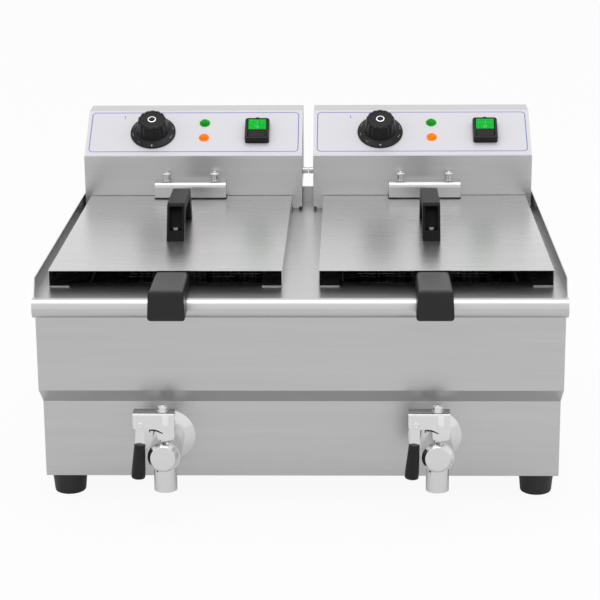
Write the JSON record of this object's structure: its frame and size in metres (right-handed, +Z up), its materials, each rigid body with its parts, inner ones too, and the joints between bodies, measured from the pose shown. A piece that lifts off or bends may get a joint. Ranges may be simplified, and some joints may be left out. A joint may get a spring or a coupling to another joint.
{
  "type": "deep fryer",
  "caption": "Counter-top electric deep fryer: twin oil tanks with baskets and lids, lift-out control heads and a front drain tap to each tank.",
  "frame": {"origin": "on the table, under the middle of the whole outline", "axes": "+X to the viewer's right, +Y to the back, +Z up; the panels and taps face -Y"},
  "size_m": [0.5626, 0.5676, 0.358],
  "materials": {
    "brushed_steel": "brushed stainless sheet, satin",
    "dark_steel": "plain galvanised base plate",
    "tank_steel": "drawn stainless, satin",
    "lid_steel": "brushed stainless sheet, satin",
    "tap_metal": "satin nickel plate",
    "pin_chrome": "polished",
    "wire_chrome": "polished wire",
    "element_metal": "matt sheath",
    "brass": "machined",
    "ptfe": "moulded",
    "black_plastic": "moulded, fine grain",
    "gloss_black": "moulded, semi-gloss",
    "rubber": "moulded rubber",
    "green_lens": "translucent lens",
    "amber_lens": "translucent lens",
    "green_key": "translucent key",
    "red_plastic": "moulded",
    "ceramic": "terminal block"
  },
  "bodies": {
    "fryer_base": {"cabinet": "brushed_steel", "base_plate": "dark_steel", "hob_top": "brushed_steel", "feet": "rubber", "tap_flanges": "tap_metal", "tap_caps": "tap_metal", "valve_seats": "ptfe", "tank_left": "tank_steel", "tank_right": "tank_steel", "tap_body_left": "tap_metal", "tap_body_right": "tap_metal"},
    "tap_left": {"valve_ball_left": "tap_metal", "tap_lever_left": "tap_metal", "lever_fixings_left": "pin_chrome"},
    "arm_left": {"lever_arm_left": "tap_metal", "lever_grip_left": "rubber"},
    "head_left": {"head_shell_left": "brushed_steel", "head_cover_left": "brushed_steel", "element_left": "element_metal", "thermostat_left": "brass", "terminal_block_left": "ceramic", "cable_gland_left": "black_plastic", "lamp_green_left": "green_lens", "lamp_amber_left": "amber_lens", "rocker_frame_left": "gloss_black", "hanger_bar_left": "brushed_steel", "hanger_pins_left": "pin_chrome"},
    "knob_left": {"knob_left": "gloss_black"},
    "rocker_left": {"rocker_key_left": "green_key"},
    "reset_left": {"reset_button_left": "red_plastic"},
    "basket_left": {"basket_left": "wire_chrome", "basket_grip_left": "black_plastic"},
    "lid_left": {"lid_left": "lid_steel", "lid_handle_left": "black_plastic", "lid_screws_left": "pin_chrome"},
    "tap_right": {"valve_ball_right": "tap_metal", "tap_lever_right": "tap_metal", "lever_fixings_right": "pin_chrome"},
    "arm_right": {"lever_arm_right": "tap_metal", "lever_grip_right": "rubber"},
    "head_right": {"head_shell_right": "brushed_steel", "head_cover_right": "brushed_steel", "element_right": "element_metal", "thermostat_right": "brass", "terminal_block_right": "ceramic", "cable_gland_right": "black_plastic", "lamp_green_right": "green_lens", "lamp_amber_right": "amber_lens", "rocker_frame_right": "gloss_black", "hanger_bar_right": "brushed_steel", "hanger_pins_right": "pin_chrome"},
    "knob_right": {"knob_right": "gloss_black"},
    "rocker_right": {"rocker_key_right": "green_key"},
    "reset_right": {"reset_button_right": "red_plastic"},
    "basket_right": {"basket_right": "wire_chrome", "basket_grip_right": "black_plastic"},
    "lid_right": {"lid_right": "lid_steel", "lid_handle_right": "black_plastic", "lid_screws_right": "pin_chrome"}
  },
  "joints": [
    {"name": "head_lift_left", "type": "slide", "parent": "fryer_base", "child": "head_left", "axis": [0, 0, 1], "range_m": [0, 0.2]},
    {"name": "basket_lift_left", "type": "slide", "parent": "head_left", "child": "basket_left", "axis": [0, 0, 1], "range_m": [0, 0.18]},
    {"name": "lid_lift_left", "type": "slide", "parent": "basket_left", "child": "lid_left", "axis": [0, 0, 1], "range_m": [0, 0.12]},
    {"name": "knob_turn_left", "type": "hinge", "parent": "head_left", "child": "knob_left", "pos_m": [-0.1945, 0.20599, 0.32913], "axis": [0, -0.5519, 0.8339], "range_deg": [-270, 0]},
    {"name": "rocker_tilt_left", "type": "hinge", "parent": "head_left", "child": "rocker_left", "pos_m": [-0.0635, 0.20273, 0.33297], "axis": [1, 0, 0], "range_deg": [-18, 0]},
    {"name": "reset_press_left", "type": "slide", "parent": "head_left", "child": "reset_left", "axis": [0, -1, 0], "range_m": [0, 0.0025], "stiffness_N_per_m": 600, "springref_m": -0.001},
    {"name": "tap_turn_left", "type": "hinge", "parent": "fryer_base", "child": "tap_left", "pos_m": [-0.1435, -0.2702, 0.074], "axis": [0, 0, 1], "range_deg": [0, 90]},
    {"name": "arm_fold_left", "type": "hinge", "parent": "tap_left", "child": "arm_left", "pos_m": [-0.1665, -0.2759, 0.11], "axis": [0, 1, 0], "range_deg": [0, 86]},
    {"name": "head_lift_right", "type": "slide", "parent": "fryer_base", "child": "head_right", "axis": [0, 0, 1], "range_m": [0, 0.2]},
    {"name": "basket_lift_right", "type": "slide", "parent": "head_right", "child": "basket_right", "axis": [0, 0, 1], "range_m": [0, 0.18]},
    {"name": "lid_lift_right", "type": "slide", "parent": "basket_right", "child": "lid_right", "axis": [0, 0, 1], "range_m": [0, 0.12]},
    {"name": "knob_turn_right", "type": "hinge", "parent": "head_right", "child": "knob_right", "pos_m": [0.0905, 0.20599, 0.32913], "axis": [0, -0.5519, 0.8339], "range_deg": [-270, 0]},
    {"name": "rocker_tilt_right", "type": "hinge", "parent": "head_right", "child": "rocker_right", "pos_m": [0.2215, 0.20273, 0.33297], "axis": [1, 0, 0], "range_deg": [-18, 0]},
    {"name": "reset_press_right", "type": "slide", "parent": "head_right", "child": "reset_right", "axis": [0, -1, 0], "range_m": [0, 0.0025], "stiffness_N_per_m": 600, "springref_m": -0.001},
    {"name": "tap_turn_right", "type": "hinge", "parent": "fryer_base", "child": "tap_right", "pos_m": [0.1455, -0.2702, 0.074], "axis": [0, 0, 1], "range_deg": [0, 90]},
    {"name": "arm_fold_right", "type": "hinge", "parent": "tap_right", "child": "arm_right", "pos_m": [0.1225, -0.2759, 0.11], "axis": [0, 1, 0], "range_deg": [0, 86]}
  ]
}
